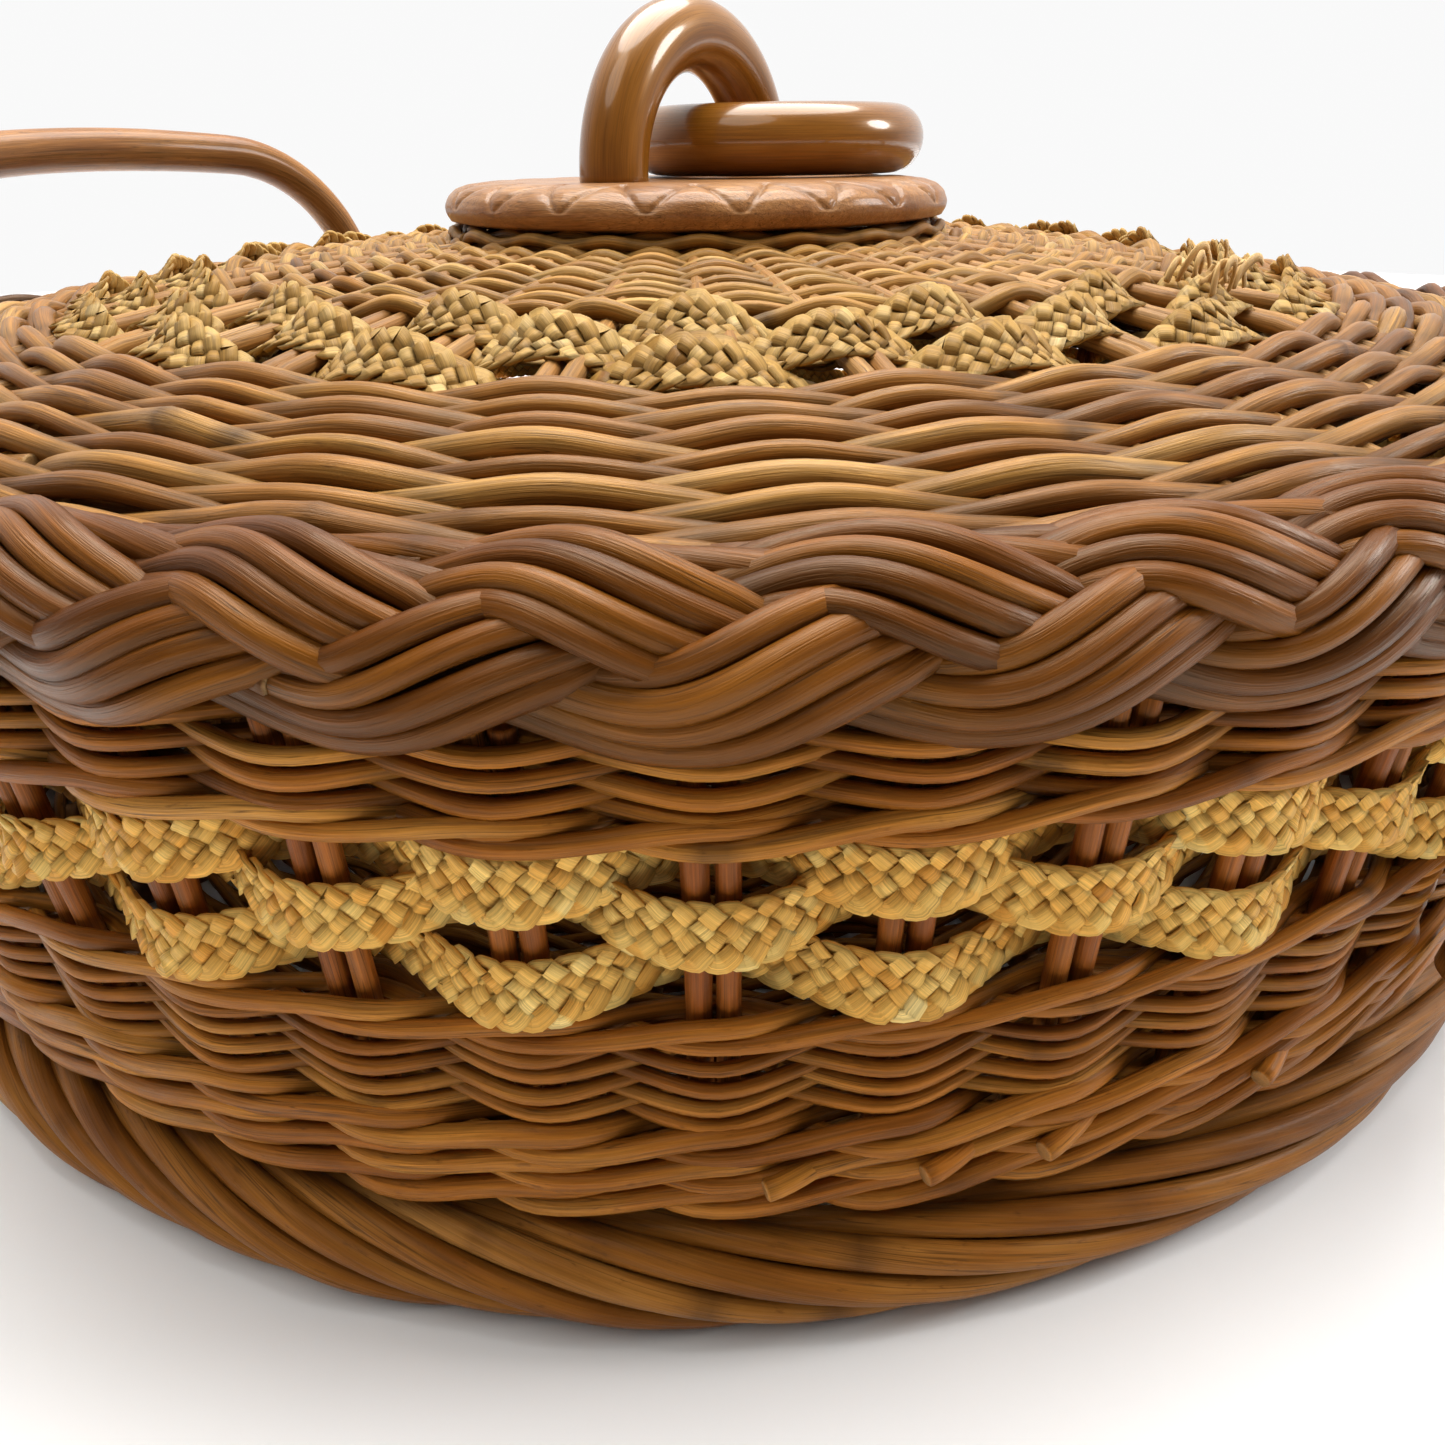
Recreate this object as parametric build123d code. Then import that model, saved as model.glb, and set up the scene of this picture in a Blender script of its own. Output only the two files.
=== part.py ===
from build123d import *

import os
from math import asin, cos, degrees, hypot, radians, sin, sqrt

# A round lidded basket, woven on pairs of upright stakes. The wall is, from the floor up, a
# twisted foot border, a thick upsett wale, a fine weave, three rows of braided straw, a fine
# rim weave and a border that the lid rests on. The domed lid is woven on pairs of radial spokes
# and ends in a wide plaited border that hangs over the wall's rim. A carved wooden disc crowns
# the lid, with a fixed half ring for a handle and a whole ring hanging loose in it.
# Origin: centre of the basket where it stands, +Z up, the side handles on the X axis.

# Driving dimensions, in millimetres and degrees.
CLEAR = 0.05  # gap between pieces of one body that lie on each other
LIFT_GAP = 0.35  # gap between the lid and the wall it rests on

STAKE_PAIRS = 52
STAKE_D = 2.5
PAIR_PITCH = 2.8  # between the two centres of a pair
STAKE_FOOT = (144.5, 14.5)  # radius and height of the stakes' centre-line at its ends
STAKE_TOP = (148.8, 75.9)

FOOT_BORDER_INNER_R = 140.0
FOOT_BORDER_OUTER_R = 152.5
FOOT_BORDER_H = 14.0
FOOT_FLAT = (143.0, 149.5)  # radii of the flat ring that touches the floor
TILT_GAP = 0.35  # room for the leaning end of a wall weave over a level piece

UPSETT_ROWS, UPSETT_ROD, UPSETT_TOP = 4, 3.0, 30.0
LOWER_ROWS, LOWER_ROD, LOWER_TOP = 7, 1.9, 45.6
STRAW_ROWS, STRAW_W, STRAW_T, STRAW_TOP = 3, 6.0, 2.6, 64.9
STRAW_SWING = 3.1  # how far a braid's centre-line swings out and in past the stakes
RIM_ROWS, RIM_ROD = 5, 1.9
RIM_BORDER = (143.6, 149.3, 76.25, 80.5)  # inner and outer radius, bottom and top
RIM_BORDER_CHAMFER = 1.0

BASE_MID_Z = 10.0  # height of the base's sticks
BASE_STICKS_EACH_WAY = 6
BASE_STICK_D = 4.5
BASE_CROSS_HALF = 17.0  # half of the straight stretch where the sticks cross
BASE_FAN_R = 40.0  # radius where they are all spread in one layer
BASE_STICK_END_R = 139.5
BASE_WEAVE_R = (44.0, 137.0)
BASE_CENTRE_R = (21.0, 43.8)
BASE_ROWS, BASE_ROD = 30, 2.7
BASE_CENTRE_ROWS, BASE_CENTRE_ROD = 9, 1.9

DOME_R = 650.0  # the lid's spokes lie on a sphere of this radius
DOME_TOP_Z = 103.2
SPOKE_PAIRS = 38
SPOKE_TURN = 5.0  # the first pair's angle from +X
SPOKE_R = (41.0, 138.2)
FINE_ROWS, FINE_ROD, FINE_R = 21, 1.8, (44.0, 84.6)
LID_STRAW_R = ((87.0, 93.9), (94.9, 101.8), (102.8, 109.7))
LID_STRAW_T = 2.6
COARSE_ROWS, COARSE_ROD, COARSE_R = 8, 3.0, (112.0, 138.2)
PLAIT_INNER_R = 138.4  # where it meets the spokes' ends
PLAIT_SKIRT_R = 149.8  # inner radius of the part that hangs past the wall's border

DISC_R, DISC_BOTTOM, DISC_TOP = 46.0, 105.1, 112.0
DISC_EDGE_FILLET = 3.2
DISC_CUTS = 28
CENTRE_STICKS_EACH_WAY = 5
CENTRE_STICK_D = 3.2
CENTRE_STICK_PITCH = 3.35
CENTRE_STICK_HALF = 38.5
CENTRE_MID_Z = 101.7
UNDER_PLATE_R, UNDER_PLATE_Z = 30.0, (94.4, 98.3)

RING_D = 57.0  # outside, of the fixed half ring and the loose ring alike
RING_TUBE_D = 11.7
ARCH_CENTRE = (-0.7, -0.3)
ARCH_ANGLE = 82.0  # the half ring's plane, from +X
TENON_D, TENON_END_Z = 8.0, 90.4
PEG_D, PEG_LENGTH, PEG_Z = 2.4, 14.0, 92.6
RING_REST_GAP = 0.3
RING_HANG_ANGLE = 71.3  # from the half ring's centre to the loose ring's, from +X

HANDLE_D = 9.5
HANDLE_FOOT_R, HANDLE_FOOT_Z = 154.6, 24.0
HANDLE_LEG_ANGLE = 3.5 * 360 / STAKE_PAIRS  # halfway between two pairs of stakes
HANDLE_SHOULDER = (152.0, 66.0, 114.5)  # corner before rounding
HANDLE_CROWN = (167.0, 0.0, 120.0)
HANDLE_RADII = (34.0, 150.0, 34.0)
LASHING_T, LASHING_H, LASHING_Z = 0.7, 8.0, (38.0, 70.0)
WALL_PEG_D, WALL_PEG_R, WALL_PEG_Z = 3.0, (139.5, 164.0), 55.4
WALL_PEG_ANGLE = 24.0

RING_R = (RING_D - RING_TUBE_D) / 2  # centre-line radius of both rings
NEAR = STAKE_D / 2 + CLEAR  # from a stake's centre to the rods that pass it
PAIR_ANGLE = 360 / STAKE_PAIRS


def wall_r(z):
    """Radius of the stakes' centre-line at a height."""
    (r0, z0), (r1, z1) = STAKE_FOOT, STAKE_TOP
    return r0 + (r1 - r0) * (z - z0) / (z1 - z0)


def dome_z(r):
    """Height of the lid spokes' centre-line at a radius."""
    return DOME_TOP_Z - DOME_R + sqrt(DOME_R**2 - r**2)


def wall_marks(z0, z1, rows):
    """Row limits up the wall, each a radius, a height and the outward normal there."""
    (ra, za), (rb, zb) = STAKE_FOOT, STAKE_TOP
    length = hypot(rb - ra, zb - za)
    normal = ((zb - za) / length, -(rb - ra) / length)
    heights = [z0 + (z1 - z0) * i / rows for i in range(rows + 1)]
    return [(wall_r(z), z, *normal) for z in heights]


def dome_marks(r0, r1, rows):
    """Row limits down the lid, each a radius, a height and the outward normal there."""
    radii = [r0 + (r1 - r0) * i / rows for i in range(rows + 1)]
    return [(r, dome_z(r), r / DOME_R, sqrt(1 - (r / DOME_R) ** 2)) for r in radii]


def flat_marks(r0, r1, rows, z):
    """Row limits across a flat base, each a radius, a height and the upward normal."""
    return [(r0 + (r1 - r0) * i / rows, z, 0.0, 1.0) for i in range(rows + 1)]


def ring_of(edges):
    """The ring swept by a closed outline in the XZ plane as it turns round Z."""
    return revolve(Face(Wire(edges)), Axis.Z, 360)


def weave(marks, near, rod):
    """One face of a weave: a ring of rows, flat towards the stakes and bulging away from them.

    near is the offset of the flat side along the marks' normals, negative for the other face,
    and rod is how far the bulges stand past it."""
    sign = 1 if near > 0 else -1

    def at(mark, offset):
        r, z, nr, nz = mark
        return (r + nr * offset, 0, z + nz * offset)

    def between(a, b):
        return tuple((x + y) / 2 for x, y in zip(a, b))

    valley, crest = near + sign * 0.55 * rod, near + sign * rod
    first, last = marks[0], marks[-1]
    edges = []
    for a, b in zip(marks, marks[1:]):
        edges.append(ThreePointArc(at(a, valley), at(between(a, b), crest), at(b, valley)))
    edges.append(Line(at(last, valley), at(last, near)))
    if first[2:] == last[2:]:
        edges.append(Line(at(last, near), at(first, near)))
    else:
        middle_r = (first[0] + last[0]) / 2
        middle = dome_marks(middle_r, middle_r, 1)[0]
        edges.append(ThreePointArc(at(last, near), at(middle, near), at(first, near)))
    edges.append(Line(at(first, near), at(first, valley)))
    return ring_of(edges)


def both_faces(marks, near, rod):
    """The front and the back of a weave, with the stakes between them."""
    return [weave(marks, near, rod), weave(marks, -near, rod)]


def rod_between(a, b, diameter):
    """A straight round rod."""
    a, b = Vector(*a), Vector(*b)
    return extrude(Plane(origin=a, z_dir=b - a) * Circle(diameter / 2), (b - a).length)


def rod_along(path, diameter):
    """A round rod along a path of straight runs and tangent arcs."""
    return sweep(Plane(origin=path @ 0, z_dir=path % 0) * Circle(diameter / 2), path=path)


def turned(shape, angle):
    return Rot(0, 0, angle) * shape


def write(node, solids):
    """One STEP file with all the solids of a node."""
    flat = [s for shape in solids for s in shape.solids()]
    export_step(flat[0] if len(flat) == 1 else Compound(flat), f"parts/{node}.step")
    print(node, len(flat), "solids,", round(sum(s.volume for s in flat)), "mm3")


def wall_pegs(diameter=WALL_PEG_D, spare=0.0):
    """Four radial rods, one through each handle leg and the wall behind it."""
    r0, r1 = WALL_PEG_R
    ends = (r0 - spare, 0, WALL_PEG_Z), (r1 + spare, 0, WALL_PEG_Z)
    angles = (side + turn for side in (0, 180) for turn in (-WALL_PEG_ANGLE, WALL_PEG_ANGLE))
    return [turned(rod_between(*ends, diameter), angle) for angle in angles]


def without_pegs(solid):
    """The same solid with room for the wall pegs."""
    for hole in wall_pegs(WALL_PEG_D + 2 * CLEAR, spare=5.0):
        solid -= hole
    return solid


# The base: sticks that cross in the middle and fan out like spokes, woven above and below.
def base_stick(index, z_offset):
    """One stick that runs along X, passes the crossing level and fans out at both ends."""
    place = index - (BASE_STICKS_EACH_WAY - 1) / 2
    y = place * (BASE_STICK_D + 0.4)
    angle = radians(place * 90 / BASE_STICKS_EACH_WAY)
    low = BASE_MID_Z + z_offset
    half = [
        (BASE_CROSS_HALF, y, low),
        (BASE_FAN_R * cos(angle), BASE_FAN_R * sin(angle), BASE_MID_Z),
        (BASE_STICK_END_R * cos(angle), BASE_STICK_END_R * sin(angle), BASE_MID_Z),
    ]
    other = [(-x, y, z) for x, y, z in reversed(half)]
    return rod_along(FilletPolyline(*other, *half, radius=18), BASE_STICK_D)


def base_sticks(z_offset, angle):
    sticks = [base_stick(i, z_offset) for i in range(BASE_STICKS_EACH_WAY)]
    return [turned(s, angle) for s in sticks]


def base_weave():
    marks = flat_marks(*BASE_WEAVE_R, BASE_ROWS, BASE_MID_Z)
    return both_faces(marks, BASE_STICK_D / 2 + CLEAR, BASE_ROD)


def base_centre_weave():
    """The first rows round the crossing, which pass over and under both layers of sticks."""
    marks = flat_marks(*BASE_CENTRE_R, BASE_CENTRE_ROWS, BASE_MID_Z)
    return both_faces(marks, BASE_STICK_D + 3 * CLEAR, BASE_CENTRE_ROD)


def foot_border():
    """The twisted border that the basket stands on, with a flat ring at the floor."""
    flat_in, flat_out = FOOT_FLAT
    waist = FOOT_BORDER_OUTER_R - 1.2
    points = [(flat_in, 0, 0), (flat_out, 0, 0)]
    edges = [
        Line(*points),
        ThreePointArc(points[1], (FOOT_BORDER_OUTER_R, 0, 4.2), (waist, 0, 7.4)),
        ThreePointArc(
            (waist, 0, 7.4), (waist + 0.5, 0, 10.8), (flat_out - 0.6, 0, FOOT_BORDER_H)
        ),
        Line((flat_out - 0.6, 0, FOOT_BORDER_H), (flat_in, 0, FOOT_BORDER_H)),
        ThreePointArc(
            (flat_in, 0, FOOT_BORDER_H), (FOOT_BORDER_INNER_R, 0, FOOT_BORDER_H / 2), points[0]
        ),
    ]
    return [ring_of(edges)]


# The wall.
def body_stakes():
    """Pairs of stakes that lean out a little from foot to rim."""
    (r0, z0), (r1, z1) = STAKE_FOOT, STAKE_TOP
    pair = [
        rod_between((r0, side * PAIR_PITCH / 2, z0), (r1, side * PAIR_PITCH / 2, z1), STAKE_D)
        for side in (-1, 1)
    ]
    return [turned(s, i * PAIR_ANGLE) for i in range(STAKE_PAIRS) for s in pair]


def straw_braid(row):
    """A flat braid on edge, passing outside one pair of stakes and inside the next."""
    top = STRAW_TOP - row * (STRAW_TOP - LOWER_TOP) / STRAW_ROWS
    bottom = top - STRAW_W
    middle_r = wall_r((top + bottom) / 2)

    def outline(offset):
        def at(step, swing):
            angle = radians(step * PAIR_ANGLE)
            r = middle_r + offset + swing
            return (r * cos(angle), r * sin(angle), bottom)

        arcs = []
        for i in range(STAKE_PAIRS):
            swing = STRAW_SWING if (i + row) % 2 == 0 else -STRAW_SWING
            arcs.append(ThreePointArc(at(i - 0.5, 0), at(i, swing), at(i + 0.5, 0)))
        return Wire(arcs)

    outer, inner = outline(STRAW_T / 2), outline(-STRAW_T / 2)
    return [without_pegs(extrude(Face(outer, [inner]), STRAW_W, dir=(0, 0, 1)))]


def rim_border():
    """The border at the top of the wall, hidden under the lid's plait."""
    r0, r1, z0, z1 = RIM_BORDER
    c = RIM_BORDER_CHAMFER
    corners = [
        (r0 + c, 0, z0),
        (r1 - c, 0, z0),
        (r1, 0, z0 + c),
        (r1, 0, z1 - c),
        (r1 - c, 0, z1),
        (r0 + c, 0, z1),
        (r0, 0, z1 - c),
        (r0, 0, z0 + c),
    ]
    return [ring_of([Line(a, b) for a, b in zip(corners, corners[1:] + corners[:1])])]


# The side handles.
def handle_foot(y_side):
    """The lower end of one leg of the handle at +X."""
    angle = radians(HANDLE_LEG_ANGLE)
    x, y = HANDLE_FOOT_R * cos(angle), HANDLE_FOOT_R * sin(angle)
    return Vector(x, y_side * y, HANDLE_FOOT_Z)


def side_handle(side):
    """One bent cane: up a leaning leg, over the crown and down."""
    x, y, z = HANDLE_SHOULDER
    corners = [(x, y, z), HANDLE_CROWN, (x, -y, z)]
    path = FilletPolyline(handle_foot(1), *corners, handle_foot(-1), radius=list(HANDLE_RADII))
    return [without_pegs(turned(rod_along(path, HANDLE_D), side))]


def handle_lashings(side):
    """Flat cane wound round each leg, low down and at the rim."""
    inner = HANDLE_D / 2 + CLEAR
    x, y, z = HANDLE_SHOULDER
    bands = []
    for y_side in (-1, 1):
        foot = handle_foot(y_side)
        leg = Vector(x, y_side * y, z) - foot
        for middle_z in LASHING_Z:
            middle = foot + leg * ((middle_z - foot.Z) / leg.Z)
            start = middle - leg.normalized() * (LASHING_H / 2)
            band = Plane(origin=start, z_dir=leg) * (Circle(inner + LASHING_T) - Circle(inner))
            bands.append(extrude(band, LASHING_H))
    return [turned(b, side) for b in bands]


# The lid.
def lid_spokes():
    """Pairs of radial spokes bent to the dome."""
    centre_z = DOME_TOP_Z - DOME_R
    start, end = (asin(r / DOME_R) for r in SPOKE_R)
    foot = (DOME_R * sin(start), 0, centre_z + DOME_R * cos(start))
    along = (cos(start), 0, -sin(start))
    hub = Axis((0, 0, centre_z), (0, 1, 0))
    section = Plane(origin=foot, z_dir=along) * Circle(STAKE_D / 2)
    spoke = revolve(section, hub, degrees(end - start))
    pair = [Pos(0, side * PAIR_PITCH / 2, 0) * spoke for side in (-1, 1)]
    step = 360 / SPOKE_PAIRS
    return [turned(s, SPOKE_TURN + i * step) for i in range(SPOKE_PAIRS) for s in pair]


def centre_sticks(z_offset, angle):
    """Short sticks of the cross under the disc, all one way."""
    z = CENTRE_MID_Z + z_offset
    first = -(CENTRE_STICKS_EACH_WAY - 1) / 2 * CENTRE_STICK_PITCH
    sticks = []
    for i in range(CENTRE_STICKS_EACH_WAY):
        y = first + i * CENTRE_STICK_PITCH
        ends = (-CENTRE_STICK_HALF, y, z), (CENTRE_STICK_HALF, y, z)
        sticks.append(turned(rod_between(*ends, CENTRE_STICK_D), angle))
    return sticks


def lid_plait():
    """The wide plaited border: three crests over the shoulder and a skirt past the rim."""
    under = RIM_BORDER[3] + LIFT_GAP
    r, z, nr, nz = dome_marks(PLAIT_INNER_R, PLAIT_INNER_R, 1)[0]
    rise, drop = NEAR + COARSE_ROD, (z - under) / nz
    inner_top, inner_bottom = (r + nr * rise, 0, z + nz * rise), (r - nr * drop, 0, under)
    valleys = [inner_top, (147.4, 0, 91.4), (153.6, 0, 86.4), (153.4, 0, 79.2)]
    crests = [(143.4, 0, 93.6), (151.7, 0, 90.4), (155.0, 0, 82.7)]
    edges = [ThreePointArc(a, c, b) for a, c, b in zip(valleys, crests, valleys[1:])]
    skirt = (PLAIT_SKIRT_R, 0, 77.4)
    edges.append(ThreePointArc(valleys[-1], (152.0, 0, 76.5), skirt))
    edges.append(Line(skirt, (PLAIT_SKIRT_R, 0, under)))
    edges.append(Line((PLAIT_SKIRT_R, 0, under), inner_bottom))
    edges.append(Line(inner_bottom, inner_top))
    return [ring_of(edges)]


# The disc and the rings.
def on_arch(shape):
    """A shape made round the half ring's centre, moved to its place on the lid."""
    return Pos(*ARCH_CENTRE, 0) * turned(shape, ARCH_ANGLE)


def tenon_holes(z0, z1):
    """Two bores for the half ring's tenons."""
    bore = TENON_D + 2 * CLEAR
    return [on_arch(rod_between((x, 0, z0), (x, 0, z1), bore)) for x in (-RING_R, RING_R)]


def carved_disc():
    """A turned disc with V cuts round its upper edge."""
    disc = Pos(0, 0, DISC_BOTTOM) * extrude(Circle(DISC_R), DISC_TOP - DISC_BOTTOM)
    disc = fillet(disc.edges().group_by(Axis.Z)[-1], DISC_EDGE_FILLET)
    disc = fillet(disc.edges().group_by(Axis.Z)[0], 1.5)
    cut = Pos(DISC_R - 3.5, 0, DISC_TOP + 0.2) * Rot(0, 25, 0) * Rot(45, 0, 0) * Box(9, 1.8, 1.8)
    for i in range(DISC_CUTS):
        disc -= turned(cut, i * 360 / DISC_CUTS)
    for hole in tenon_holes(DISC_BOTTOM - 1, DISC_TOP + 1):
        disc -= hole
    return [disc]


def under_plate():
    z0, z1 = UNDER_PLATE_Z
    plate = Pos(0, 0, z0) * extrude(Circle(UNDER_PLATE_R), z1 - z0)
    plate = fillet(plate.edges().group_by(Axis.Z)[0], 1.2)
    for hole in tenon_holes(z0 - 1, z1 + 1):
        plate -= hole
    return [plate]


def peg_rod(x, diameter):
    half = PEG_LENGTH / 2
    return on_arch(rod_between((x, -half, PEG_Z), (x, half, PEG_Z), diameter))


def handle_arch():
    """Half a ring standing on the disc, with a tenon under each end."""
    section = Plane.XY * Pos(RING_R, 0) * Circle(RING_TUBE_D / 2)
    arch = Pos(0, 0, DISC_TOP) * revolve(section, Axis.Y, -180)
    for x in (-RING_R, RING_R):
        arch += rod_between((x, 0, TENON_END_Z), (x, 0, DISC_TOP), TENON_D)
    arch = on_arch(arch)
    for x in (-RING_R, RING_R):
        arch -= peg_rod(x, PEG_D + 2 * CLEAR)
    return [arch]


def tenon_pegs():
    return [peg_rod(x, PEG_D) for x in (-RING_R, RING_R)]


def loose_ring():
    """A whole ring lying on the disc, linked through the half ring round its +a leg."""
    z = DISC_TOP + RING_REST_GAP + RING_TUBE_D / 2
    ring = Pos(RING_R, 0, z) * Torus(RING_R, RING_TUBE_D / 2)
    return [Pos(*ARCH_CENTRE, 0) * turned(ring, RING_HANG_ANGLE)]


os.makedirs("parts", exist_ok=True)

half_cross = (BASE_STICK_D + 2 * CLEAR) / 2
write("base_sticks_lower", base_sticks(-half_cross, 0))
write("base_sticks_upper", base_sticks(half_cross, 90))
write("base_centre_weave", base_centre_weave())
write("base_weave", base_weave())
write("foot_border", foot_border())

write("body_stakes", body_stakes())
upsett = wall_marks(STAKE_FOOT[1], UPSETT_TOP - CLEAR, UPSETT_ROWS)
write("upsett_wale", both_faces(upsett, NEAR, UPSETT_ROD))
lower = wall_marks(UPSETT_TOP + CLEAR, LOWER_TOP - CLEAR, LOWER_ROWS)
write("lower_weave", both_faces(lower, NEAR, LOWER_ROD))
for row in range(STRAW_ROWS):
    write(f"straw_braid_{row + 1}", straw_braid(row))
rim = wall_marks(STRAW_TOP + TILT_GAP, STAKE_TOP[1], RIM_ROWS)
write("rim_weave", both_faces(rim, NEAR, RIM_ROD))
write("rim_border", rim_border())

for name, side in (("right", 0), ("left", 180)):
    write(f"side_handle_{name}", side_handle(side))
    write(f"handle_lashings_{name}", handle_lashings(side))
write("handle_pegs", wall_pegs())

write("lid_spokes", lid_spokes())
half_stick = (CENTRE_STICK_D + 2 * CLEAR) / 2
write("lid_centre_sticks_lower", centre_sticks(-half_stick, ARCH_ANGLE - 45))
write("lid_centre_sticks_upper", centre_sticks(half_stick, ARCH_ANGLE + 45))
write("lid_fine_weave", both_faces(dome_marks(*FINE_R, FINE_ROWS), NEAR, FINE_ROD))
for row, radii in enumerate(LID_STRAW_R):
    write(f"lid_straw_braid_{row + 1}", both_faces(dome_marks(*radii, 1), NEAR, LID_STRAW_T))
write("lid_coarse_weave", both_faces(dome_marks(*COARSE_R, COARSE_ROWS), NEAR, COARSE_ROD))
write("lid_plait_border", lid_plait())

write("carved_disc", carved_disc())
write("lid_under_plate", under_plate())
write("handle_arch", handle_arch())
write("tenon_pegs", tenon_pegs())
write("loose_ring", loose_ring())
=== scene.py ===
from math import cos, pi, radians, sin, tau

import bpy
import numpy as np
from mathutils import Matrix, Vector


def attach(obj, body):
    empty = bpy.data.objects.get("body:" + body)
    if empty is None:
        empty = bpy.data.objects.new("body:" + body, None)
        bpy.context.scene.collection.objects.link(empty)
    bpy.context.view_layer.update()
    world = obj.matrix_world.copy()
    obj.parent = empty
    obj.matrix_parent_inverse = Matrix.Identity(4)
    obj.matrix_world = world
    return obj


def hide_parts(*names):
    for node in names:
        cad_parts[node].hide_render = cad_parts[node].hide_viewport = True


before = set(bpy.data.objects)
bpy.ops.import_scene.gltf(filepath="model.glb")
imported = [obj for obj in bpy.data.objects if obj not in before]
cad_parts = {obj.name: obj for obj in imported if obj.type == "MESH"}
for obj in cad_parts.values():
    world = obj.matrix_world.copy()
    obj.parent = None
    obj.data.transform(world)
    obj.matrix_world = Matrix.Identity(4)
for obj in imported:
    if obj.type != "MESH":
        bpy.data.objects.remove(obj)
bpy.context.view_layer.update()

# Everything below is worked out in millimetres and degrees, and scaled when a mesh is made.
MM = 0.001
RNG = np.random.default_rng(41)
UNDERSIDE_SHADE, INSIDE_SHADE = 0.5, 0.9  # painted shade: how much darker the colour is painted on sides that face down and on sides that face the axis
WALL_SIDE_R = 130.0  # pieces beyond this radius have an inside that faces the axis

# The frame's own dimensions, as the CAD part has them.
STAKE_PAIRS, STAKE_D, PAIR_PITCH = 52, 2.5, 2.8
STAKE_FOOT, STAKE_TOP = (144.5, 14.5), (148.8, 75.9)
SPOKE_PAIRS, SPOKE_TURN, SPOKE_R = 38, 5.0, (41.0, 138.2)
DOME_R, DOME_TOP_Z = 650.0, 103.2
BASE_MID_Z, BASE_SPOKES, BASE_TURN = 10.0, 24, 7.5
DISC_R, DISC_BOTTOM, DISC_TOP = 46.0, 105.1, 112.0
RING_R, RING_TUBE_R = 22.65, 5.85
ARCH_CENTRE, ARCH_ANGLE, HANG_ANGLE = (-0.7, -0.3), 82.0, 71.3
LOOSE_RING_Z = 118.15
HANDLE_D = 9.5
HANDLE_LEG_ANGLE = 3.5 * 360 / STAKE_PAIRS
HANDLE_FOOT_R, HANDLE_FOOT_Z = 154.6, 24.0
HANDLE_SHOULDER, HANDLE_CROWN = (152.0, 66.0, 114.5), (167.0, 0.0, 120.0)
HANDLE_RADII = (34.0, 150.0, 34.0)
LASHING_H, LASHING_Z = 8.0, (38.0, 70.0)

# The weaves. A level is a height on the wall, and a radius on the lid and on the base.
RIM_ROWS, RIM_TOP, RIM_PITCH, RIM_ROD, RIM_SAG = 7, 74.9, 1.27, 1.95, 0.5
LOWER_ROWS, LOWER_TOP, LOWER_PITCH, LOWER_ROD, LOWER_SAG = 8, 40.6, 1.38, 1.75, 0.8
RIM_WALE_Z, RIM_WALE_ROD = 66.6, 2.3
LOWER_WALE_Z, LOWER_WALE_ROD, WALE_RISE = 43.0, 2.05, 1.05
UPSETT_ROWS, UPSETT_TOP, UPSETT_PITCH, UPSETT_ROD, UPSETT_RISE = 3, 27.6, 4.1, 2.6, 1.6
STUB_Z, STUB_R = 23.2, 1.2
WALL_STRAW = ((61.5, 0.7, 7.1), (56.6, 0.7, 7.1), (49.3, 0.9, 7.7))  # level, sag and width
LID_STRAW_R, LID_STRAW_W = (90.4, 98.3, 106.0), 8.0
BRAID_STRANDS, BRAID_STEPS = 5, 4
BASE_ROD, BASE_PITCH, CENTRE_PITCH = 1.9, 1.93, 1.95
FINE_R, FINE_PITCH, FINE_EDGE_R = (40.6, 82.0), 2.42, 84.3
PACKING_R, PACKING_RISE = (42.2, 44.8), 2.3
COARSE_R, COARSE_ROWS = (110.6, 141.8), 15
PLAIT_UNITS, PLAIT_R, PLAIT_RODS, PLAIT_ROD, PLAIT_PITCH = 38, 150.0, 4, 3.0, 2.7
DISC_PETALS = 20


# Surfaces: each turns an angle, a level and an offset along the normal into points.
def wall(t, z, d):
    """The wall: the level is a height, and the offset is outwards from the stakes."""
    (r0, z0), (r1, z1) = STAKE_FOOT, STAKE_TOP
    r = r0 + (r1 - r0) * (z - z0) / (z1 - z0) + d
    return np.stack([r * np.cos(t), r * np.sin(t), z + 0 * t], -1)


def dome(t, r, d):
    """The lid: the level is a radius, and the offset is upwards from the spokes."""
    nr = r / DOME_R
    nz = np.sqrt(1 - nr**2)
    out = r + nr * d
    z = DOME_TOP_Z - DOME_R + DOME_R * nz + nz * d
    return np.stack([out * np.cos(t), out * np.sin(t), z + 0 * t], -1)


def floor_of(t, r, d):
    """The base: the level is a radius, and the offset is downwards from the sticks."""
    return np.stack([r * np.cos(t), r * np.sin(t), BASE_MID_Z - d + 0 * t], -1)


def unit(v):
    return v / np.maximum(np.linalg.norm(v, axis=-1, keepdims=True), 1e-9)


def wander(x, amount, waves=5, low=0.08, high=0.7):
    """A smooth random function of x."""
    y = np.zeros_like(x)
    for _ in range(waves):
        y += RNG.normal() * np.sin(tau * RNG.uniform(low, high) * x + RNG.uniform(0, tau))
    return amount * y / np.sqrt(waves)


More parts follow.
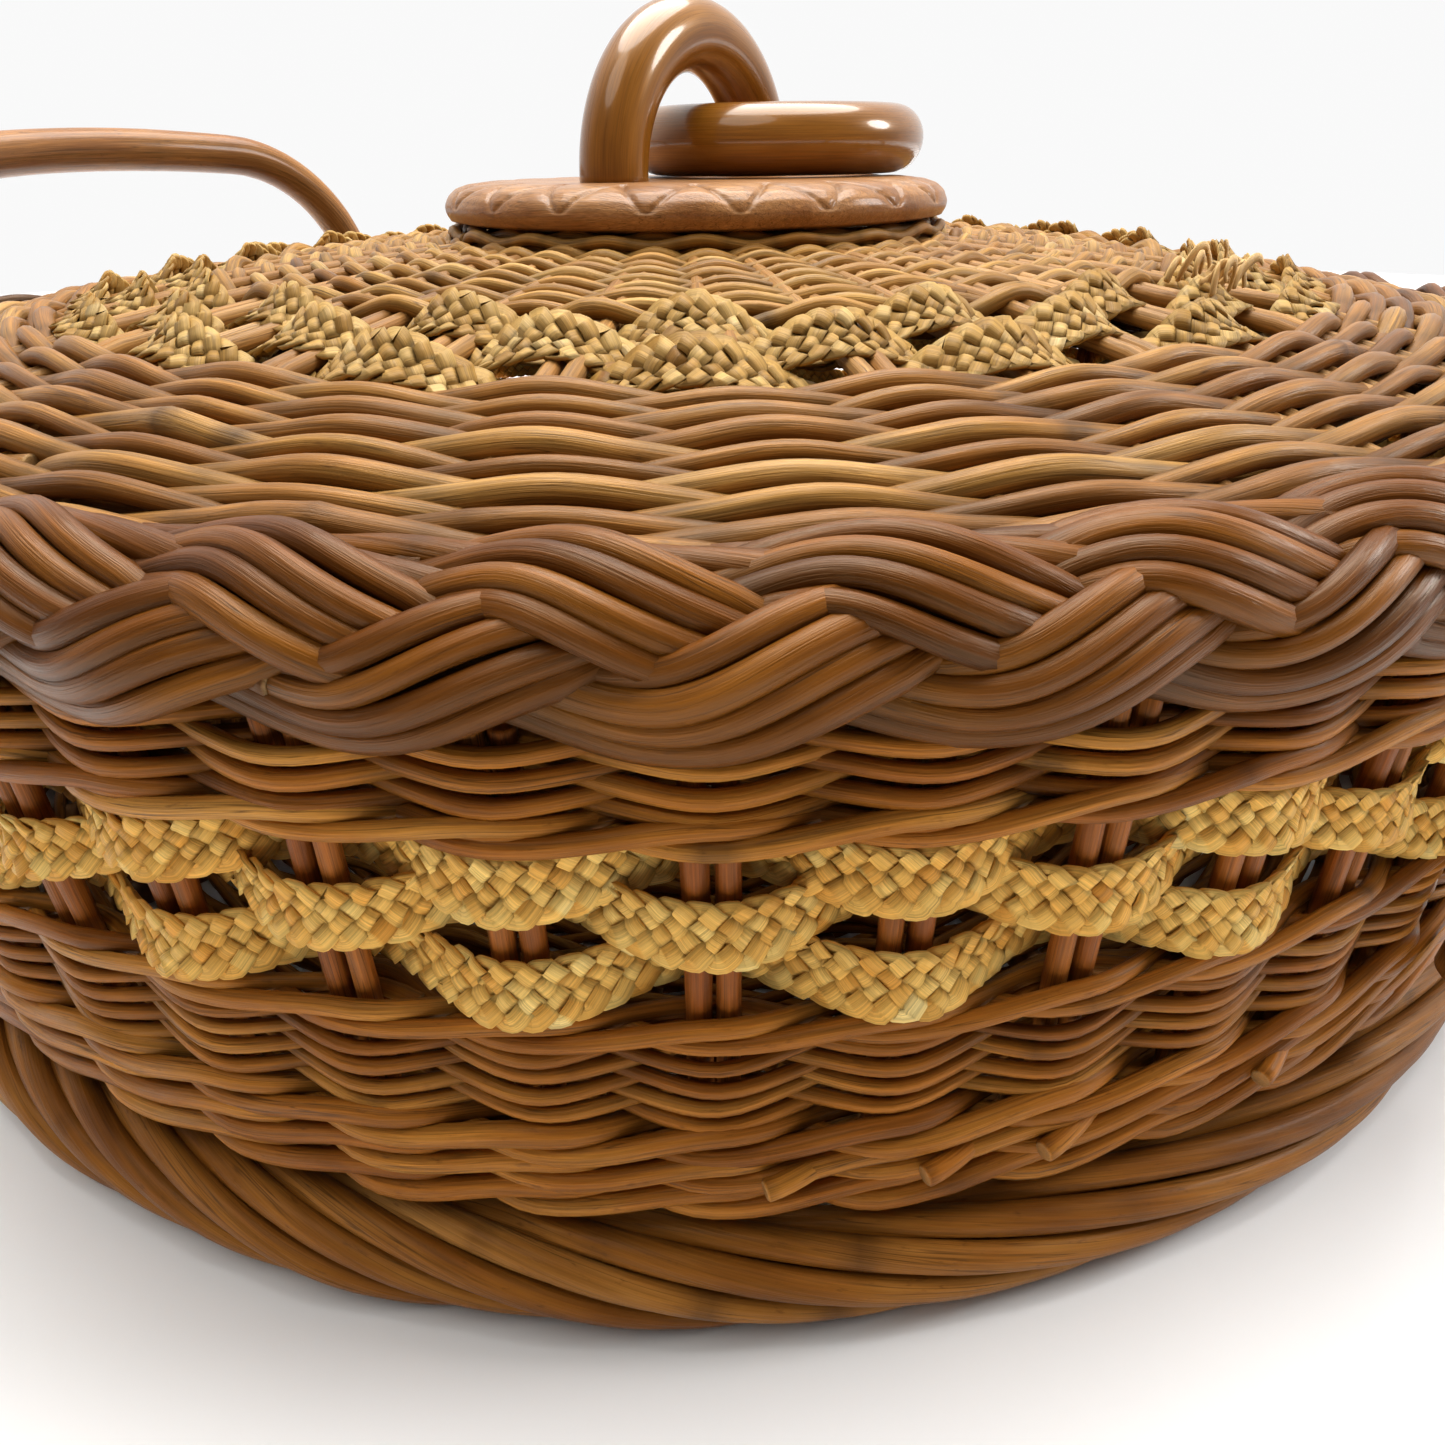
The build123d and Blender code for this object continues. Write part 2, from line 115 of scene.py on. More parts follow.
class Piece:
    """Many rods that become one mesh, each vertex knowing its place in its own rod."""

    def __init__(self):
        self.points, self.grain, self.values, self.quads, self.caps = [], [], [], [], []
        self.count = 0

    def tube(self, path, radius, normal, sides=8, squash=1.0, tone=None, mark=0.0, deep=0.0,
             closed=False, cut=0.0):
        """A rod along a path. squash thins it along the normal, mark is dark below 0 and pale above."""
        n = len(path)
        if closed:
            tangent = np.roll(path, -1, 0) - np.roll(path, 1, 0)
        else:
            tangent = np.gradient(path, axis=0)
        tangent = unit(tangent)
        steps = np.linalg.norm(np.diff(path, axis=0), axis=1)
        along = np.concatenate([[0], np.cumsum(steps)])
        radius, mark, deep = (np.array(np.broadcast_to(v, n), float) for v in (radius, mark, deep))
        tone = RNG.normal() if tone is None else tone
        tone = np.array(np.broadcast_to(tone, n), float)
        normal = np.broadcast_to(normal, (n, 3))
        if not closed:
            ends = path[:1] - tangent[:1] * radius[0] * 0.2, path[-1:] + tangent[-1:] * radius[-1] * 0.2
            path = np.concatenate([ends[0], path, ends[1]])
            tangent, normal = (np.concatenate([v[:1], v, v[-1:]]) for v in (tangent, normal))
            along, mark, deep, tone = (
                np.concatenate([v[:1], v, v[-1:]]) for v in (along, mark, deep, tone))
            radius = np.concatenate([radius[:1] * 0.8, radius, radius[-1:] * 0.8])
            if cut:
                mark[[0, -1]] = cut
            n += 2
        side = unit(np.cross(tangent, normal))
        up = np.cross(side, tangent)
        a = tau * np.arange(sides) / sides
        c, s = np.cos(a)[None, :, None], np.sin(a)[None, :, None]
        ring = (up[:, None] * c * squash + side[:, None] * s) * radius[:, None, None]
        self.points.append((path[:, None] + ring).reshape(-1, 3))
        grain = np.concatenate([
            radius[:, None, None] * np.broadcast_to(np.concatenate([c, s], 2), (n, sides, 2)),
            np.broadcast_to(along[:, None, None], (n, sides, 1))], 2)
        self.grain.append((grain + RNG.uniform(0, 400, 3)).reshape(-1, 3))
        values = np.repeat(np.stack([tone, mark, deep], 1), sides, 0)
        facing = (up[:, None] * c + side[:, None] * s).reshape(-1, 3)
        outward = unit(self.points[-1][:, :2])
        on_wall = np.linalg.norm(self.points[-1][:, :2], axis=1) > WALL_SIDE_R
        inward = -np.sum(facing[:, :2] * outward, 1) * on_wall
        # Painted shade: the deep value grows on sides that face down, and on the wall's sides that face
        # the axis.
        values[:, 2] += UNDERSIDE_SHADE * np.clip(0.25 - facing[:, 2], 0, 1) + INSIDE_SHADE * np.clip(inward, 0, 1)
        self.values.append(values)
        rows = np.arange(n if closed else n - 1)
        i, j = np.meshgrid(rows, np.arange(sides), indexing="ij")
        i2, j2 = (i + 1) % n, (j + 1) % sides
        quads = np.stack([i * sides + j, i * sides + j2, i2 * sides + j2, i2 * sides + j], -1)
        self.quads.append(quads.reshape(-1, 4) + self.count)
        if not closed:
            self.caps.append(np.arange(sides)[::-1] + self.count)
            self.caps.append(np.arange(sides) + (n - 1) * sides + self.count)
        self.count += n * sides

    def lathe(self, grid, grain, tone=0.0):
        """A surface that turns round Z, closed round the turn and at both ends."""
        n, m = grid.shape[:2]
        self.points.append(grid.reshape(-1, 3))
        self.grain.append(grain.reshape(-1, 3))
        self.values.append(np.tile([tone, 0.0, 0.0], (n * m, 1)))
        i, j = np.meshgrid(np.arange(n - 1), np.arange(m), indexing="ij")
        j2 = (j + 1) % m
        quads = np.stack([i * m + j, (i + 1) * m + j, (i + 1) * m + j2, i * m + j2], -1)
        self.quads.append(quads.reshape(-1, 4) + self.count)
        self.caps.append(np.arange(m) + self.count)
        self.caps.append(np.arange(m)[::-1] + (n - 1) * m + self.count)
        self.count += n * m

    def build(self, name, look, body, slot, *nodes):
        """Makes the object, in metres, riding on its body in place of the CAD nodes."""
        points = np.concatenate(self.points) * MM
        quads = np.concatenate(self.quads)
        loops = np.concatenate([quads.ravel(), *self.caps]) if self.caps else quads.ravel()
        sizes = np.concatenate([np.full(len(quads), 4), [len(c) for c in self.caps]]).astype(int)
        starts = np.concatenate([[0], np.cumsum(sizes)[:-1]])
        mesh = bpy.data.meshes.new(name)
        mesh.vertices.add(len(points))
        mesh.loops.add(len(loops))
        mesh.polygons.add(len(sizes))
        mesh.vertices.foreach_set("co", points.astype(np.float32).ravel())
        mesh.loops.foreach_set("vertex_index", loops.astype(np.int32))
        mesh.polygons.foreach_set("loop_start", starts.astype(np.int32))
        smooth = np.arange(len(sizes)) < len(quads)
        mesh.polygons.foreach_set("use_smooth", smooth)
        mesh.update(calc_edges=True)
        grain = mesh.attributes.new("grain", "FLOAT_VECTOR", "POINT")
        grain.data.foreach_set("vector", np.concatenate(self.grain).astype(np.float32).ravel())
        values = np.concatenate(self.values).astype(np.float32)
        for column, key in enumerate(("tone", "mark", "deep")):
            attribute = mesh.attributes.new(key, "FLOAT", "POINT")
            attribute.data.foreach_set("value", values[:, column].copy())
        mesh.materials.append(look)
        obj = bpy.data.objects.new(name, mesh)
        bpy.context.scene.collection.objects.link(obj)
        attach(obj, body)
        if nodes:
            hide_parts(*nodes)
        return obj


# Weaves.
def knots(along, chance):
    """Swellings and dark marks where side shoots were: a swell and a mark per point."""
    swell, mark = np.zeros_like(along), np.zeros_like(along)
    for _ in range(RNG.poisson(chance * (along[-1] - along[0]) / 100)):
        at = RNG.uniform(along[0], along[-1])
        bump = np.exp(-(((along - at) / RNG.uniform(1.0, 2.2)) ** 2))
        swell += RNG.uniform(0.04, 0.16) * bump
        mark -= RNG.uniform(0.2, 1.0) * bump
    return swell, mark


def lay_rod(piece, place, t, level, d, rod, cross, sides=8, tone=None, squash=0.94):
    """One rod of a weave. cross is how near each point is to a crossing, 0 to 1."""
    path = place(t, level, d)
    normal = unit(place(t, level, d + 1.0) - path)
    along = np.concatenate([[0], np.cumsum(np.linalg.norm(np.diff(path, axis=0), axis=1))])
    swell, mark = knots(along, 0.5)
    share = along / along[-1]
    thick = RNG.normal(1, 0.05) + 0.09 * (0.5 - share) + wander(along, 0.035, 4, 0.01, 0.08) + swell
    squash = squash + wander(along, 0.03, 3, 0.01, 0.06)
    radius = rod / 2 * thick
    # cross goes into the deep value as painted shade.
    piece.tube(path, radius, normal, sides, float(np.mean(squash)), tone, mark, cross * 0.8, cut=0.6)


def spans(start, end, period, shortest, longest):
    """Cuts a run into rods whose ends are whole periods apart."""
    cuts, x = [start], start
    while end - x > longest * period:
        x += period * int(RNG.integers(shortest, longest))
        if end - x < shortest * period / 2:
            break
        cuts.append(x)
    cuts.append(end)
    return list(zip(cuts, cuts[1:]))


def plain_row(piece, place, level, parity, pairs, turn, reach, rod, sag=0.0,
              steps=10, sides=8, jitter=0.18, skew=0.0):
    """Rods that pass outside one pair and inside the next, all the way round."""
    start = 1 - parity + 2 * int(RNG.integers(0, pairs // 2))
    for x0, x1 in spans(start, start + pairs, 2, 5, 11):
        x = np.linspace(x0 - 0.3, x1 + 0.35, int((x1 - x0) * steps) + 6)
        wave = np.cos(pi * (x + parity))
        bent = (wave + 0.05 * np.cos(3 * pi * (x + parity))) / 1.05
        d = reach * bent - 1.3 * rod * np.exp(-(((x - x0) / 0.4) ** 2)) + wander(x, 0.06 * rod)
        z = level - sag * bent + wander(x, jitter)
        t = radians(turn) + (x + skew) * tau / pairs
        # Painted shade: darker near each crossing, and on the passes inside the stakes.
        hidden = np.clip(1 - 1.6 * abs(wave), 0, 1) + 0.7 * np.clip(-wave, 0, 1)
        lay_rod(piece, place, t, z, d, rod, hidden, sides)


def wale_row(piece, place, level, pairs, turn, reach, rod, rise, steps=9, sides=9, jitter=0.12):
    """Three rods a pair apart, each passing outside two pairs and inside one."""
    for k in range(3):
        end = k + pairs - 2 if k else pairs + 1
        for x0, x1 in spans(k - 1, end, 3, 3, 7):
            x = np.linspace(x0 - 0.3, x1 + 0.35, int((x1 - x0) * steps) + 6)
            u = (x - k) % 3
            out = np.where(u < 1, 1 + 0.06 * np.sin(pi * u),
                           np.where(u < 2, np.cos(pi * (u - 1)), -np.cos(pi * (u - 2))))
            lift = np.where(u < 1, -np.cos(pi * u),
                            np.where(u < 2, (1 + np.cos(pi * (u - 1))) / 2,
                                     -(1 - np.cos(pi * (u - 2))) / 2))
            d = reach * out - 1.2 * rod * np.exp(-(((x - x0) / 0.4) ** 2)) + wander(x, 0.05 * rod)
            z = level + rise * lift + wander(x, jitter)
            t = radians(turn) + x * tau / pairs
            # Painted shade: darker near each crossing, and on the passes inside the stakes.
            hidden = np.clip(1 - 1.6 * abs(out), 0, 1) + 0.7 * np.clip(-out, 0, 1)
            lay_rod(piece, place, t, z, d, rod, hidden, sides)


def twisted_ring(piece, r, z, half_r, half_z, rods, rod, turns, uneven=0.0, slow_at=0.0,
                 start=0.0, steps=700, sides=12, jitter=0.25):
    """Rods that wind round a ring, like a rope, faster on some stretches than on others."""
    for k in range(rods):
        t = np.linspace(0, tau, steps, endpoint=False)
        psi = turns * t - turns * uneven / 3 * np.sin(3 * (t - slow_at)) + start + k * tau / rods
        ripple = sum(RNG.normal() * np.sin(m * t + RNG.uniform(0, tau)) for m in (3, 5, 8, 11)) / 2
        swell = sum(RNG.normal() * np.sin(m * t + RNG.uniform(0, tau)) for m in (2, 7, 13)) / 2
        rr = r + (half_r + jitter * ripple) * np.cos(psi)
        zz = z - (half_z + jitter * ripple) * np.sin(psi)
        path = np.stack([rr * np.cos(t), rr * np.sin(t), zz], -1)
        out = np.stack([np.cos(psi) * np.cos(t), np.cos(psi) * np.sin(t), -np.sin(psi)], -1)
        mark = np.zeros(steps)
        for _ in range(14):
            gap = (t - RNG.uniform(0, tau)) * r
            mark -= RNG.uniform(0.3, 0.9) * np.exp(-((gap / RNG.uniform(1.0, 2.4)) ** 2))
        # deep 0.1 paints a little even shade along the whole rod, on top of the painted shade of its
        # undersides.
        piece.tube(path, rod / 2 * (1 + 0.05 * swell), out, sides, 0.9, None, mark, 0.1, True)


def braid(piece, centre, across, width, strands, traverse, lift, crown, thick=0.7):
    """A flat plait of straw strips, folding at both edges, along a closed line."""
    nxt = np.roll(centre, -1, 0)
    along = np.concatenate([[0], np.cumsum(np.linalg.norm(nxt - centre, axis=1))])
    total = along[-1]
    traverse = total / (2 * round(total / (2 * traverse)))
    face = unit(np.cross(across, unit(nxt - np.roll(centre, 1, 0))))
    frames = [np.concatenate([v, v[:1]]) for v in (centre, across, face)]
    lean = np.arctan2(width, traverse)
    strip = 2 * traverse / strands * sin(lean) * 1.06
    limit = width / 2
    half = limit - strip * 0.3
    count = int(round(total / traverse)) * strands * BRAID_STEPS
    u = np.arange(count) * total / count
    section = np.array([(-1, -0.5), (-0.9, 0.7), (-0.55, 1), (0.55, 1), (0.9, 0.7), (1, -0.5)])
    sides = len(section)
    for k in range(strands):
        q = strands * u / traverse - 2 * k
        f = q / strands
        w = half * np.arcsin(0.99 * np.cos(pi * f)) / np.arcsin(0.99)
        e = q % strands
        step = np.tanh(1.8 * np.cos(pi * e)) / np.tanh(1.8)
        step = np.where(e < 1, -np.sin(pi * e / 2), step)
        step = np.where(e > strands - 1, (-1) ** (strands - 1) * np.sin(pi * (strands - e) / 2), step)
        cell = np.floor(q + 0.5).astype(int)
        index = cell - cell.min()
        shades, rolls, slopes = RNG.normal(0, 1, (3, index.max() + 1))
        h = lift * step + 0.1 * slopes[index] * (q - cell) + wander(u, 0.07, 5, 0.02, 0.3)
        w = w + wander(u, 0.12, 5, 0.02, 0.3)
        slope = (np.roll(w, -1) - np.roll(w, 1)) / (2 * total / count)
        size = np.hypot(1, slope)
        cx, cz = section[None, :, 0] * strip / 2, section[None, :, 1] * thick / 2
        us = u[:, None] - (slope / size)[:, None] * cx
        ws = w[:, None] + (1 / size)[:, None] * cx
        straight, fold = 0.86 * limit, 0.14 * limit
        over = np.maximum(abs(ws) - straight, 0)
        ws = np.sign(ws) * (np.minimum(abs(ws), straight) + fold * np.tanh(over / fold))
        hs = h[:, None] + cz + crown * (1 - (ws / limit) ** 2) + cx * 0.13 * rolls[index][:, None]
        places = us % total
        c, a, n = (np.stack([np.interp(places, along, v[:, i]) for i in range(3)], -1) for v in frames)
        points = c + unit(a) * ws[..., None] + unit(n) * hs[..., None]
        piece.points.append(points.reshape(-1, 3))
        run = np.broadcast_to((u * 1.3 + 37.0 * k)[:, None], us.shape)
        piece.grain.append(np.stack([cx + 0 * us, cz + 0 * us + 7.0 * k, run], -1).reshape(-1, 3))
        # Painted shade: the strips darken at the seams between facets inside the braid, and along their
        # narrow sides.
        inner = (e > 0.6) & (e < strands - 0.6)
        edge = np.clip(1.1 - abs(np.cos(pi * q)) * 1.6, 0, 1) * inner
        deep = 0.8 * edge[:, None] + 0.35 * (abs(section[None, :, 0]) > 0.95)
        values = np.stack([np.broadcast_to(shades[index][:, None], us.shape), 0 * us,
                           np.clip(deep, 0, 1) + 0 * us], -1)
        piece.values.append(values.reshape(-1, 3))
        i, j = np.meshgrid(np.arange(count), np.arange(sides), indexing="ij")
        i2, j2 = (i + 1) % count, (j + 1) % sides
        quads = np.stack([i * sides + j, i2 * sides + j, i2 * sides + j2, i * sides + j2], -1)
        piece.quads.append(quads.reshape(-1, 4) + piece.count)
        piece.count += count * sides


# Materials.
def tree_of(name):
    material = bpy.data.materials.new(name)
    material.use_nodes = True
    nodes, links = material.node_tree.nodes, material.node_tree.links
    return material, nodes, links, nodes["Principled BSDF"]


def srgb(*colour):
    """A colour given as it looks on a screen, 0 to 255, in linear light."""
    return tuple(((v / 255 + 0.055) / 1.055) ** 2.4 if v > 10 else v / 3294.6 for v in colour) + (1,)


PALE_WOOD, AMBER = srgb(214, 176, 120), srgb(255, 216, 160)
CRACK, STAIN, KNOT = srgb(48, 24, 8), srgb(74, 40, 16), srgb(52, 26, 12)
BUMP_DEPTH = 0.00022  # metres


def attribute(nodes, name):
    node = nodes.new("ShaderNodeAttribute")
    node.attribute_name = name
    return node


def noise(nodes, links, vector, scale, detail=4.0, rough=0.6, distortion=0.0):
    """Noise with its own scale along each axis of the vector."""
    mapping = nodes.new("ShaderNodeMapping")
    mapping.inputs["Scale"].default_value = scale
    links.new(vector, mapping.inputs["Vector"])
    node = nodes.new("ShaderNodeTexNoise")
    node.inputs["Scale"].default_value = 1.0
    node.inputs["Detail"].default_value = detail
    node.inputs["Roughness"].default_value = rough
    node.inputs["Distortion"].default_value = distortion
    links.new(mapping.outputs["Vector"], node.inputs["Vector"])
    return node.outputs["Fac"]


def ramp(nodes, links, value, stops, kind="LINEAR"):
    node = nodes.new("ShaderNodeValToRGB")
    node.color_ramp.interpolation = kind
    elements = node.color_ramp.elements
    while len(elements) < len(stops):
        elements.new(0.5)
    for element, (place, colour) in zip(elements, stops):
        element.position = place
        element.color = colour
    links.new(value, node.inputs["Fac"])
    return node.outputs["Color"]


def spread(nodes, links, value, low, high, to_low=0.0, to_high=1.0):
    node = nodes.new("ShaderNodeMapRange")
    for key, v in zip(("From Min", "From Max", "To Min", "To Max"), (low, high, to_low, to_high)):
        node.inputs[key].default_value = v
    links.new(value, node.inputs["Value"])
    return node.outputs["Result"]


def calc(nodes, links, operation, a, b=0.0):
    node = nodes.new("ShaderNodeMath")
    node.operation = operation
    for socket, v in zip(node.inputs, (a, b)):
        if isinstance(v, (int, float)):
            socket.default_value = v
        else:
            links.new(v, socket)
    return node.outputs[0]


def blend(nodes, links, kind, share, a, b):
    """Two colours mixed. share, a and b are sockets or values."""
    node = nodes.new("ShaderNodeMix")
    node.data_type, node.blend_type = "RGBA", kind
    for socket, v in zip((node.inputs[0], node.inputs[6], node.inputs[7]), (share, a, b)):
        if isinstance(v, (int, float, tuple)):
            socket.default_value = v
        else:
            links.new(v, socket)
    return node.outputs[2]


def rod_look(name, stops, rough=(0.3, 0.5), coat=0.06, coat_rough=0.25, streak=(0.56, 1.2),
             speck=0.5, bump=0.7, fine=(6.0, 0.12), tone_share=0.075, blotch=0.42, deepen=0.5,
             cracks=0.7, shine=0.2, fibres=(0.72, 1.2)):
    """A look for rods and strips, with long grain, cracks, stains, knots and a tone for each rod.

    streak and fibres are how dark and pale the coarse and the fine grain go, tone_share and
    blotch how far a rod's own tone and its patches move along the colours, and deepen how much
    the painted shade in the deep value darkens crossings, tucked passes, undersides and inner sides.
    """
    material, nodes, links, shader = tree_of(name)
    grain = attribute(nodes, "grain").outputs["Vector"]
    tone = attribute(nodes, "tone").outputs["Fac"]
    mark = attribute(nodes, "mark").outputs["Fac"]
    deep = attribute(nodes, "deep").outputs["Fac"]
    long_streak = noise(nodes, links, grain, (1.5, 1.5, 0.035), 5.0, 0.62)
    fibre = noise(nodes, links, grain, (fine[0], fine[0], fine[1]), 3.0, 0.6)
    cloud = noise(nodes, links, grain, (0.16, 0.16, 0.035), 3.0, 0.55)
    dots = noise(nodes, links, grain, (1.3, 1.3, 0.3), 3.0, 0.7)
    place = calc(nodes, links, "MULTIPLY", tone, tone_share)
    patches = spread(nodes, links, cloud, 0.3, 0.7, 0.5 - blotch / 2, 0.5 + blotch / 2)
    place = calc(nodes, links, "ADD", place, patches)
    colour = ramp(nodes, links, place, stops)
    shade = spread(nodes, links, long_streak, 0.3, 0.7, *streak)
    colour = blend(nodes, links, "MULTIPLY", 1.0, colour, shade)
    shade = spread(nodes, links, fibre, 0.3, 0.7, *fibres)
    colour = blend(nodes, links, "MULTIPLY", 1.0, colour, shade)
    split = noise(nodes, links, grain, (0.9, 0.9, 0.02), 2.0, 0.5)
    apart = calc(nodes, links, "ABSOLUTE", calc(nodes, links, "SUBTRACT", split, 0.5))
    line = spread(nodes, links, apart, 0.0, 0.016, cracks, 0.0)
    line = calc(nodes, links, "MULTIPLY", line, spread(nodes, links, cloud, 0.42, 0.56))
    colour = blend(nodes, links, "MIX", line, colour, CRACK)
    stain = calc(nodes, links, "MULTIPLY", spread(nodes, links, dots, 0.62, 0.74), speck)
    colour = blend(nodes, links, "MIX", stain, colour, STAIN)
    knot = spread(nodes, links, mark, 0.0, -1.0, 0.0, 0.75)
    colour = blend(nodes, links, "MIX", knot, colour, KNOT)
    fresh = spread(nodes, links, mark, 0.0, 1.0, 0.0, 0.9)
    colour = blend(nodes, links, "MIX", fresh, colour, PALE_WOOD)
    # Painted shade: the colour darkens with the deep value, at crossings, on tucked and inner passes, on
    # undersides, at braid seams and in carved grooves.
    painted_shade = spread(nodes, links, deep, 0.0, 1.6, 1.0, 1.0 - 1.5 * deepen)
    colour = blend(nodes, links, "MULTIPLY", 1.0, colour, painted_shade)
    links.new(colour, shader.inputs["Base Color"])
    gloss = calc(nodes, links, "ADD", spread(nodes, links, long_streak, 0.3, 0.7, *rough),
                 calc(nodes, links, "MULTIPLY", deep, 0.15))
    links.new(gloss, shader.inputs["Roughness"])
    shader.inputs["Specular IOR Level"].default_value = shine
    shader.inputs["Specular Tint"].default_value = AMBER
    shader.inputs["Coat Weight"].default_value = coat
    shader.inputs["Coat Roughness"].default_value = coat_rough
    height = calc(nodes, links, "ADD", calc(nodes, links, "MULTIPLY", fibre, 0.5), long_streak)
    node = nodes.new("ShaderNodeBump")
    node.inputs["Strength"].default_value = bump
    node.inputs["Distance"].default_value = BUMP_DEPTH
    links.new(height, node.inputs["Height"])
    links.new(node.outputs["Normal"], shader.inputs["Normal"])
    return material


def solid_look(name, stops, rough=(0.3, 0.5), coat=0.3, scale=(400.0, 400.0, 60.0)):
    """A look for a CAD node that is kept, from its place in the frame."""
    material, nodes, links, shader = tree_of(name)
    place = nodes.new("ShaderNodeTexCoord").outputs["Object"]
    streaks = noise(nodes, links, place, scale, 5.0, 0.6)
    colour = ramp(nodes, links, streaks, stops)
    links.new(colour, shader.inputs["Base Color"])
    links.new(spread(nodes, links, streaks, 0.3, 0.7, *rough), shader.inputs["Roughness"])
    shader.inputs["Coat Weight"].default_value = coat
    shader.inputs["Coat Roughness"].default_value = 0.3
    node = nodes.new("ShaderNodeBump")
    node.inputs["Strength"].default_value = 0.4
    node.inputs["Distance"].default_value = 0.0002
    links.new(streaks, node.inputs["Height"])
    links.new(node.outputs["Normal"], shader.inputs["Normal"])
    return material


def stops_of(*colours):
    """Ramp stops spread evenly over most of the range."""
    last = len(colours) - 1
    return [(0.1 + 0.8 * i / last, srgb(*c)) for i, c in enumerate(colours)]


# Each look's colours run from its darkest rods to its palest.
WILLOW = rod_look(
    "willow", stops_of((88, 50, 16), (130, 82, 32), (156, 105, 46), (176, 128, 62), (196, 152, 92)),
    rough=(0.26, 0.44), shine=0.3)
FINE = rod_look(
    "fine_willow", stops_of((104, 64, 22), (146, 98, 40), (170, 124, 60), (190, 147, 80), (206, 169, 104)))
LOWER = rod_look(
    "lower_willow", stops_of((98, 52, 14), (144, 82, 23), (170, 104, 34), (190, 127, 50), (206, 148, 70)))
PLAIT = rod_look(
    "plait_willow", stops_of((60, 26, 4), (90, 47, 9), (114, 63, 14), (137, 82, 22), (164, 108, 40)),
    rough=(0.24, 0.42), coat=0.06, coat_rough=0.16, shine=0.3, deepen=0.7,
    streak=(0.6, 1.16), fibres=(0.82, 1.12))
FOOT = rod_look(
    "foot_willow", stops_of((86, 47, 14), (128, 74, 22), (154, 95, 32), (174, 115, 48), (190, 134, 68)),
    rough=(0.32, 0.52), coat=0.06, coat_rough=0.22, deepen=0.62,
    streak=(0.68, 1.14), fibres=(0.86, 1.1))
SPOKE = rod_look(
    "spoke_cane", stops_of((116, 76, 34), (154, 108, 58), (176, 130, 74), (192, 150, 98)),
    rough=(0.35, 0.5), speck=0.3)
STAKE = rod_look(
    "stake_cane", stops_of((92, 42, 12), (138, 72, 22), (166, 96, 36), (182, 114, 50)),
    rough=(0.35, 0.5), coat=0.1, coat_rough=0.3, speck=0.3)
# The wall's straw is the lid's straw painted brighter and more orange: painted warm bounce light for the
# braids that lie in the lid's shade.
STRAW = rod_look(
    "straw", stops_of((205, 134, 48), (236, 168, 72), (248, 192, 96), (253, 212, 122), (254, 228, 156)),
    rough=(0.42, 0.62), coat=0.06, coat_rough=0.4, streak=(0.78, 1.12), speck=0.25,
    bump=0.6, fine=(9.0, 0.1), cracks=0.3, tone_share=0.09, blotch=0.3, deepen=0.56)
LID_STRAW = rod_look(
    "lid_straw", stops_of((130, 86, 34), (166, 124, 60), (190, 149, 82), (208, 172, 106), (228, 198, 142)),
    rough=(0.4, 0.6), coat=0.08, coat_rough=0.35, streak=(0.76, 1.14), speck=0.3,
    bump=0.6, fine=(9.0, 0.1), cracks=0.3, tone_share=0.1, blotch=0.3, deepen=0.66)
CANE = rod_look(
    "handle_cane", stops_of((116, 64, 24), (156, 98, 44), (184, 124, 62), (200, 144, 82)),
    rough=(0.26, 0.44), coat=0.35, coat_rough=0.18)
LACQUER = rod_look(
    "ring_lacquer", stops_of((96, 53, 10), (128, 78, 19), (150, 97, 30), (168, 115, 44)),
    rough=(0.25, 0.32), coat=0.7, coat_rough=0.1, streak=(0.92, 1.05), speck=0.1,
    bump=0.04, shine=0.4, deepen=0.35, cracks=0.0)
CARVED = rod_look(
    "carved_wood", stops_of((108, 64, 32), (148, 98, 54), (174, 124, 76), (196, 148, 100)),
    rough=(0.32, 0.5), coat=0.35, coat_rough=0.2, streak=(0.75, 1.15), speck=0.25,
    deepen=0.55)
PLAIN_WOOD = solid_look("plain_wood", [(0.3, srgb(96, 52, 26)), (0.7, srgb(150, 96, 52))])
STICK = solid_look("base_stick", [(0.3, srgb(112, 70, 36)), (0.7, srgb(176, 124, 72))])


# The wall.
def stakes():
    piece = Piece()
    z = np.linspace(STAKE_FOOT[1], STAKE_TOP[1], 26)
    for i in range(STAKE_PAIRS):
        for side in (-1, 1):
            t = i * tau / STAKE_PAIRS + side * PAIR_PITCH / 2 / 147 + wander(z, 0.0006, 3, 0.01, 0.04)
            d = wander(z, 0.08, 3, 0.01, 0.05)
            path = wall(t, z, d)
            out = unit(path * [1, 1, 0])
            radius = STAKE_D / 2 * (RNG.normal(0.98, 0.03) + wander(z, 0.02, 3, 0.02, 0.08))
            piece.tube(path, radius, out, 10)
    piece.build("body_stake_rods", STAKE, "basket", "stakes", "body_stakes")


